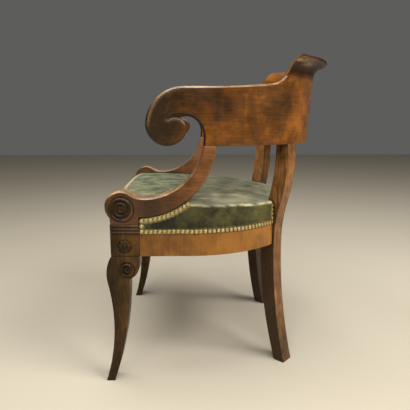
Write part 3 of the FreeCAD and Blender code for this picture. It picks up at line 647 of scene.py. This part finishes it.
class ARMCHAIR_OT_show_wood(bpy.types.Operator):
    """Polish legs, supports, arms, back, crest and rails"""
    bl_idname = "armchair.show_wood"
    bl_label = "Show wood"

    def execute(self, context):
        colours = context.scene.armchair_colours
        veneer = dict(coordinates=bend_coordinates, clouds=0.31, lines=0.15, light=veneer_light, marks=painted_shade_and_highlights)
        leg = dict(coordinates=upright_coordinates, clouds=0.30, lines=0.40)
        bent = dict(coordinates=lengthways_coordinates, clouds=0.30, lines=0.25)
        rail = dict(coordinates=cross_bend_coordinates, clouds=0.40, lines=0.22)
        woods = (
            ("figured_mahogany", "figured", both("arm_board") + ["back_board"],
             dict(veneer, polish=1.0, wear_and_sheen=0.65, rounding=rounded_scrolls)),
            ("crest_mahogany", "figured", ["crest_rail"], dict(veneer, polish=0.25, wear_and_sheen=0.15)),
            ("dark_mahogany", "leg", both("front_leg"),
             dict(leg, polish=0.3, wear_and_sheen=0.15, light=shaded_towards_front(-0.27, -0.22))),
            # The carved pieces take this one later.
            ("carved_mahogany", "leg", [], dict(leg, polish=0.3, wear_and_sheen=0.15, light=shaded_towards_front(-0.20, -0.10))),
            ("plain_mahogany", "rear", both("rear_leg"), dict(leg, polish=0.5, wear_and_sheen=0.25, light=lit_and_shaded_faces)),
            ("red_mahogany", "support", both("arm_support"),
             dict(bent, polish=1.0, wear_and_sheen=0.95, light=shaded_towards_front(-0.15, -0.06),
                  rounding=context.scene.armchair_sizes.rounded_edge)),
            ("pale_mahogany", "rail", both("side_seat_rail") + ["front_seat_rail", "rear_seat_rail"],
             dict(rail, polish=0.5, wear_and_sheen=0.25, light=shaded_towards_front(-0.22, 0.04))),
        )
        for name, wood, nodes, finish in woods:
            tones = [getattr(colours, wood + shade) for shade in ("_dark", "_mid", "_light")]
            dress(nodes, polished_wood(name, tones, **finish))
        return {"FINISHED"}


class ARMCHAIR_OT_seat_frame(bpy.types.Operator):
    """Finish the blocks, dowels, webbing and hessian that show from below"""
    bl_idname = "armchair.seat_frame"
    bl_label = "Seat frame"

    def execute(self, context):
        beech = plain_beech()
        dress(both("front_corner_block", "rear_corner_block", "back_seam_dowels"), beech)
        dress(["leg_dowels", "arm_dowels", "crest_dowels"], beech)
        dress(["webbing_front_to_back", "webbing_side_to_side"], woven_jute("jute_webbing", 3.0))
        dress(["seat_hessian"], woven_jute("hessian", 1.6))
        return {"FINISHED"}


# Carving, made on the left and mirrored

def on_leg(back, rise):
    """Point on the left leg's outer face, behind the block's front and above the leg's top."""
    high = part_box("front_leg_left")[1]
    front = high.y - bpy.context.scene.armchair_sizes.block_depth
    return Vector((high.x, front + back, high.z + rise))


def spiral_bead(centre, radius):
    """Rounded band that winds inwards between a volute's cut lines."""
    sizes = bpy.context.scene.armchair_sizes
    step = sizes.spiral_pitch / 2
    reach = radius - (sizes.spiral_pitch - sizes.bead_width) - sizes.bead_width / 2
    middle = centre.copy()
    down = -1.0
    deselect()
    bpy.ops.mesh.primitive_circle_add(vertices=14, radius=sizes.bead_width / 2, location=middle + Z * down * reach,
                                      rotation=(QUARTER_TURN, 0, 0))
    piece = bpy.context.object
    scale_to(piece, (2 * sizes.bead_height / sizes.bead_width, 1.0, 1.0))
    edit_all(piece)
    while reach > step / 2:
        bpy.ops.mesh.spin(steps=16, angle=math.pi, center=middle, axis=X)
        middle.z -= down * step
        down = -down
        reach -= step
    bpy.ops.mesh.select_all(action="DESELECT")
    bpy.ops.mesh.select_non_manifold()
    bpy.ops.mesh.fill()
    bpy.ops.mesh.select_all(action="SELECT")
    bpy.ops.mesh.normals_make_consistent(inside=False)
    bpy.ops.object.mode_set(mode="OBJECT")
    bpy.ops.object.shade_smooth()
    return piece


class ARMCHAIR_OT_volutes(bpy.types.Operator):
    """Carve the rounded spirals on arm supports and knees"""
    bl_idname = "armchair.volutes"
    bl_label = "Volutes"

    def execute(self, context):
        sizes = context.scene.armchair_sizes
        arm = spiral_bead(on_leg(sizes.volute_back, sizes.volute_rise), sizes.volute_radius)
        knee = spiral_bead(on_leg(sizes.knee_back, -sizes.knee_drop), sizes.knee_radius)
        for piece, name in ((arm, "arm_volutes"), (knee, "knee_volutes")):
            mirror_to_right(piece)
            finish_piece(piece, name, bpy.data.materials["carved_mahogany"])
        return {"FINISHED"}


class ARMCHAIR_OT_rosettes(bpy.types.Operator):
    """Carve the round flowers on the leg blocks"""
    bl_idname = "armchair.rosettes"
    bl_label = "Rosettes"
    petals = 8
    eye_rise = 1.3

    def execute(self, context):
        sizes = context.scene.armchair_sizes
        centre = on_leg(sizes.rosette_back, -sizes.rosette_drop)
        petal = self.bead(centre + Z * (sizes.eye_radius + sizes.petal_length / 2),
                          (sizes.petal_height, sizes.petal_width / 2, sizes.petal_length / 2))
        edit_all(petal)
        turn = math.tau * (self.petals - 1) / self.petals
        bpy.ops.mesh.spin(steps=self.petals - 1, dupli=True, angle=turn, center=centre, axis=X)
        bpy.ops.object.mode_set(mode="OBJECT")
        eye = self.bead(centre, (sizes.petal_height * self.eye_rise, sizes.eye_radius, sizes.eye_radius))
        flower = join([petal, eye])
        mirror_to_right(flower)
        finish_piece(flower, "rosettes", bpy.data.materials["carved_mahogany"])
        return {"FINISHED"}

    def bead(self, place, radii):
        """Smooth oval bead."""
        deselect()
        bpy.ops.mesh.primitive_uv_sphere_add(segments=12, ring_count=8, radius=1.0, location=place)
        scale_to(bpy.context.object, radii)
        bpy.ops.object.shade_smooth()
        return bpy.context.object


class ARMCHAIR_OT_reeds(bpy.types.Operator):
    """Round the reeded band at the top of each front leg"""
    bl_idname = "armchair.reeds"
    bl_label = "Reeds"
    reeds = 3
    # Shares of a reed's height.
    thickness = 0.86
    rounding = 0.40

    def execute(self, context):
        sizes = context.scene.armchair_sizes
        low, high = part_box("front_leg_left")
        height = sizes.reed_band / self.reeds
        middle = on_leg(sizes.block_depth / 2, height / 2 - sizes.reed_band)
        middle.x = (low.x + high.x) / 2
        swell = 2 * sizes.reed_swell
        rings = []
        for number in range(self.reeds):
            deselect()
            bpy.ops.mesh.primitive_cube_add(size=1.0, location=middle + Z * height * number)
            ring = context.object
            scale_to(ring, (high.x - low.x + swell, sizes.block_depth + swell, height * self.thickness))
            bevel = ring.modifiers.new("Round", "BEVEL")
            bevel.width = height * self.rounding
            bevel.segments = 4
            apply_modifiers(ring)
            bpy.ops.object.shade_smooth_by_angle(angle=math.radians(40))
            rings.append(ring)
        band = join(rings)
        mirror_to_right(band)
        finish_piece(band, "leg_reeds", bpy.data.materials["dark_mahogany"])
        return {"FINISHED"}


# Seat

def nail_places(node):
    """Foot and outward direction of each nail head in a packed group."""
    mesh = bmesh.new()
    mesh.from_mesh(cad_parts[node].data)
    bmesh.ops.remove_doubles(mesh, verts=mesh.verts, dist=MERGE)
    seen = set()
    places = []
    for first in mesh.faces:
        if first in seen:
            continue
        seen.add(first)
        island = [first]
        # The list grows while it is walked, so the nails come in the same order on each run.
        for face in island:
            for other in (face for side in face.edges for face in side.link_faces):
                if other not in seen:
                    seen.add(other)
                    island.append(other)
        areas = {}
        for face in island:
            key = tuple(round(n, 1) for n in face.normal)
            areas.setdefault(key, []).append(face)
        base = max(areas.values(), key=lambda faces: sum(f.calc_area() for f in faces))
        points = list(dict.fromkeys(v for face in base for v in face.verts))
        foot = sum((v.co for v in points), Vector()) / len(points)
        places.append((foot, -base[0].normal.copy()))
    mesh.free()
    return places


NAILS = {node: nail_places(node) for node in
         both("side_rail_nails", "arm_support_nails") + ["front_rail_nails", "rear_rail_nails"]}


def cover_blank(context):
    """Closed, evenly meshed copy of the stuffing's form."""
    piece = bpy.data.objects.new("seat_cover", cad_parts["seat_stuffing"].data.copy())
    context.collection.objects.link(piece)
    edit_all(piece)
    bpy.ops.mesh.remove_doubles(threshold=MERGE)
    bpy.ops.object.mode_set(mode="OBJECT")
    remesh = piece.modifiers.new("Even", "REMESH")
    remesh.mode = "VOXEL"
    remesh.voxel_size = context.scene.armchair_sizes.voxel
    lay = piece.modifiers.new("Lay on", "SHRINKWRAP")
    lay.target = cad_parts["seat_stuffing"]
    ease = piece.modifiers.new("Ease", "SMOOTH")
    ease.factor = 0.5
    ease.iterations = 3
    apply_modifiers(piece)
    return piece


def puff_up(context, piece, cap):
    """Lets the stuffing push the cover out, while its lower edge and its upper edge stay."""
    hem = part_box("seat_stuffing")[0].z + 12 * MM
    # Upward share of the normal on the sides and on the top. The upper edge lies between them.
    side, top = 0.3, 0.93
    rest = [v.co.copy() for v in piece.data.vertices]
    held = [v.index for v in piece.data.vertices if v.co.z < hem or side < v.normal.z < top]
    piece.vertex_groups.new(name="held").add(held, 1.0, "REPLACE")
    cloth = piece.modifiers.new("Stuffed", "CLOTH")
    cloth.settings.use_pressure = True
    cloth.settings.uniform_pressure_force = 4.0
    cloth.settings.vertex_group_mass = "held"
    cloth.settings.tension_stiffness = 20.0
    cloth.settings.bending_stiffness = 2.0
    cloth.settings.effector_weights.gravity = 0.0
    last_frame = 15
    for number in range(1, last_frame + 1):
        context.scene.frame_set(number)
    apply_modifiers(piece)
    context.scene.frame_set(1)
    piece.vertex_groups.clear()
    for vertex, start in zip(piece.data.vertices, rest):
        move = vertex.co - start
        if move.length > cap:
            vertex.co = start + move.normalized() * cap


def plan_distance(mesh):
    """Shortest way in plan from each point to the cover's lower edge."""
    rim = finder([v.co * Vector((1, 1, 0)) for v in mesh.verts if v.is_boundary])
    return [rim.find(v.co * Vector((1, 1, 0)))[2] for v in mesh.verts]


def upper_edge():
    """Finds points along the stuffing's upper edge, where the leather wears."""
    spacing = 2 * MM
    # Upward share of the normal: at least this on the top, and at most this on the sides.
    top, side = 0.7, 0.4
    mesh = bmesh.new()
    mesh.from_mesh(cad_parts["seat_stuffing"].data)
    bmesh.ops.remove_doubles(mesh, verts=mesh.verts, dist=MERGE)
    points = []
    for edge in mesh.edges:
        rises = [face.normal.z for face in edge.link_faces]
        if max(rises) > top and abs(min(rises)) < side:
            start, end = (v.co.copy() for v in edge.verts)
            steps = max(1, round((end - start).length / spacing))
            points += [start.lerp(end, number / steps) for number in range(steps + 1)]
    mesh.free()
    return finder(points)


class ARMCHAIR_OT_seat(bpy.types.Operator):
    """Stretch the leather over the stuffing and nail it down"""
    bl_idname = "armchair.seat"
    bl_label = "Seat"
    # How far the old polish round a nail reaches, in radii of its head, and how fast it fades.
    stain_reach = 1.5
    stain_fade = 3.0
    # Upward share of the normal at which the top starts, and over which it takes hold.
    top_start = 0.45
    top_span = 0.3
    # Distance from the upper edge at which the wear starts, and over which it takes hold.
    arris_reach = 4.3 * MM
    arris_span = 1.6 * MM

    def execute(self, context):
        sizes = context.scene.armchair_sizes
        piece = cover_blank(context)
        puff_up(context, piece, sizes.puff)
        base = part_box("seat_stuffing")[0].z
        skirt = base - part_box("seat_leather")[0].z
        underside = base + 4 * MM
        activate(piece)
        bpy.ops.object.mode_set(mode="EDIT")
        mesh = bmesh.from_edit_mesh(piece.data)
        for face in mesh.faces:
            face.select_set(face.normal.z < -0.5 and face.calc_center_median().z < underside)
        bmesh.update_edit_mesh(piece.data)
        bpy.ops.mesh.delete(type="FACE")
        bpy.ops.mesh.select_all(action="SELECT")
        bpy.ops.transform.shrink_fatten(value=sizes.leather)
        bpy.ops.mesh.select_all(action="DESELECT")
        bpy.ops.mesh.select_non_manifold()
        for row in range(2):
            bpy.ops.mesh.extrude_region_move(TRANSFORM_OT_translate={"value": (0, 0, -skirt / 2)})
        bpy.ops.object.mode_set(mode="OBJECT")
        finer = piece.modifiers.new("Finer", "SUBSURF")
        finer.levels = finer.render_levels = 1
        apply_modifiers(piece)
        self.gather(context, piece)
        self.mark(piece)
        bpy.ops.object.shade_smooth()
        finish_piece(piece, "seat_cover", worn_leather())
        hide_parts("seat_leather", "seat_stuffing")
        return {"FINISHED"}

    def gather(self, context, piece):
        """Pulls the leather in under each nail and stores where the nails are."""
        sizes = context.scene.armchair_sizes
        places = [place for row in NAILS.values() for place in row]
        nearest = finder([foot for foot, out in places])
        stains = []
        for vertex in piece.data.vertices:
            foot, number, gap = nearest.find(vertex.co)
            radii = gap / sizes.nail_radius
            vertex.co -= places[number][1] * (sizes.gather * math.exp(-radii ** 2))
            stains.append(clamp(self.stain_fade * (self.stain_reach - radii)))
        store(piece, "nailed", stains)

    def mark(self, piece):
        """Stores where the top, its edge and the distance from the edge are, for the leather."""
        mesh = bmesh.new()
        mesh.from_mesh(piece.data)
        mesh.normal_update()
        edge = upper_edge()
        gaps = [edge.find(v.co)[2] for v in mesh.verts]
        store(piece, "inset", plan_distance(mesh))
        store(piece, "top", [clamp((v.normal.z - self.top_start) / self.top_span) for v in mesh.verts])
        store(piece, "arris", [clamp((self.arris_reach - gap) / self.arris_span) for gap in gaps])
        mesh.free()


# Nails

def nail_head(context):
    """Domed head with a thin rim, standing on the origin."""
    sizes = context.scene.armchair_sizes
    foot = 0.12 * sizes.nail_radius
    deselect()
    bpy.ops.mesh.primitive_uv_sphere_add(segments=12, ring_count=10, radius=sizes.nail_radius)
    head = context.object
    edit_all(head)
    bpy.ops.mesh.bisect(plane_co=(0, 0, foot), plane_no=Z, clear_inner=True, use_fill=True)
    bpy.ops.object.mode_set(mode="OBJECT")
    scale_to(head, (1.0, 1.0, sizes.nail_height / sizes.nail_radius))
    bpy.ops.object.shade_smooth_by_angle(angle=math.radians(50))
    store(head, "crown", [v.co.z / sizes.nail_height for v in head.data.vertices])
    return head


class ARMCHAIR_OT_nails(bpy.types.Operator):
    """Drive the brass nails along rails, legs and supports"""
    bl_idname = "armchair.nails"
    bl_label = "Brass nails"
    # How far a nail leans as a share of its length, slips up or down, and sinks into the leather.
    lean = 0.06
    slip = 0.4 * MM
    sink = 0.8 * MM

    def execute(self, context):
        brass = aged_brass()
        pattern = nail_head(context)
        hand = random.Random(5)
        for node, places in NAILS.items():
            heads = []
            for foot, out in places:
                head = pattern.copy()
                head.data = pattern.data.copy()
                context.collection.objects.link(head)
                lean = Vector([hand.uniform(-1, 1) for axis in range(3)]) * self.lean
                turn = (out + lean).to_track_quat("Z", "Y").to_matrix().to_4x4()
                slip = Z * hand.uniform(-self.slip, self.slip)
                head.data.transform(Matrix.Translation(foot + slip - out * self.sink) @ turn)
                heads.append(head)
            row = join(heads)
            finish_piece(row, node.replace("_nails", "_brass_nails"), brass)
            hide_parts(node)
        bpy.data.objects.remove(pattern)
        return {"FINISHED"}


# Stage

class ARMCHAIR_OT_stage(bpy.types.Operator):
    """Lay the floor, hang the lights and set the camera"""
    bl_idname = "armchair.stage"
    bl_label = "Stage"
    floor_size = 14.0
    studio_strength = 0.17
    # Name, place and size in metres, and power in watts.
    lamps = (
        ("key", (1.4, 2.2, 2.6), 1.8, 100.0),
        ("fill", (2.3, -0.2, 2.8), 2.2, 60.0),
        ("top", (0.1, -0.5, 2.7), 1.5, 42.0),
    )
    aim = Vector((0, 0, 0.45))
    camera_place = (1.2765, -0.068, 0.6468)
    camera_lens = 37.76
    camera_pitch = math.radians(11.14)
    camera_yaw = math.radians(1.25)

    def execute(self, context):
        scene = context.scene
        colours = scene.armchair_colours
        scene.view_settings.view_transform = "Standard"
        deselect()
        bpy.ops.mesh.primitive_plane_add(size=self.floor_size)
        floor = context.object
        floor.name = "floor"
        material, tree = new_material("plain_floor")
        finish_material(tree, {"Base Color": colours.floor, "Roughness": 0.7})
        floor.data.materials.append(material)
        world = bpy.data.worlds.new("studio")
        world.use_nodes = True
        backdrop = world.node_tree.nodes["Background"]
        backdrop.inputs["Color"].default_value = colours.studio
        backdrop.inputs["Strength"].default_value = self.studio_strength
        scene.world = world
        for lamp in self.lamps:
            self.hang(*lamp)
        self.set_camera(scene)
        return {"FINISHED"}

    def hang(self, name, place, size, power):
        """Soft square lamp that points at the seat."""
        data = bpy.data.lights.new(name, "AREA")
        data.size = size
        data.energy = power
        lamp = bpy.data.objects.new(name, data)
        bpy.context.collection.objects.link(lamp)
        lamp.location = place
        lamp.rotation_euler = (self.aim - Vector(place)).to_track_quat("-Z", "Y").to_euler()

    def set_camera(self, scene):
        """Camera at the photograph's place: at the chair's left, a little above the arms."""
        data = bpy.data.cameras.new("camera")
        data.sensor_width = 36.0
        data.lens = self.camera_lens
        view = bpy.data.objects.new("camera", data)
        scene.collection.objects.link(view)
        view.location = self.camera_place
        level = math.cos(self.camera_pitch)
        ahead = Vector((-level * math.cos(self.camera_yaw), level * math.sin(self.camera_yaw),
                        -math.sin(self.camera_pitch)))
        view.rotation_euler = ahead.to_track_quat("-Z", "Y").to_euler()
        scene.camera = view


class ARMCHAIR_PT_panel(bpy.types.Panel):
    """Lists the chair's pieces, sizes and colours"""
    bl_label = "Armchair"
    bl_idname = "ARMCHAIR_PT_panel"
    bl_space_type = "VIEW_3D"
    bl_region_type = "UI"
    bl_category = "Armchair"

    def draw(self, context):
        for operator in OPERATORS:
            self.layout.operator(operator.bl_idname)
        for group in (context.scene.armchair_sizes, context.scene.armchair_colours):
            for name in group.__annotations__:
                self.layout.prop(group, name)


OPERATORS = (
    ARMCHAIR_OT_show_wood,
    ARMCHAIR_OT_seat_frame,
    ARMCHAIR_OT_volutes,
    ARMCHAIR_OT_rosettes,
    ARMCHAIR_OT_reeds,
    ARMCHAIR_OT_seat,
    ARMCHAIR_OT_nails,
    ARMCHAIR_OT_stage,
)
CLASSES = (ArmchairColours, ArmchairSizes) + OPERATORS + (ARMCHAIR_PT_panel,)


def register():
    """Adds the classes, and the sizes and colours of the scene."""
    for item in CLASSES:
        bpy.utils.register_class(item)
    bpy.types.Scene.armchair_colours = bpy.props.PointerProperty(type=ArmchairColours)
    bpy.types.Scene.armchair_sizes = bpy.props.PointerProperty(type=ArmchairSizes)


def unregister():
    """Takes them away again."""
    del bpy.types.Scene.armchair_sizes
    del bpy.types.Scene.armchair_colours
    for item in reversed(CLASSES):
        bpy.utils.unregister_class(item)


def main():
    """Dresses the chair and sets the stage."""
    register()
    bpy.ops.armchair.show_wood()
    bpy.ops.armchair.seat_frame()
    bpy.ops.armchair.volutes()
    bpy.ops.armchair.rosettes()
    bpy.ops.armchair.reeds()
    bpy.ops.armchair.seat()
    bpy.ops.armchair.nails()
    bpy.ops.armchair.stage()


if __name__ == "__main__":
    main()
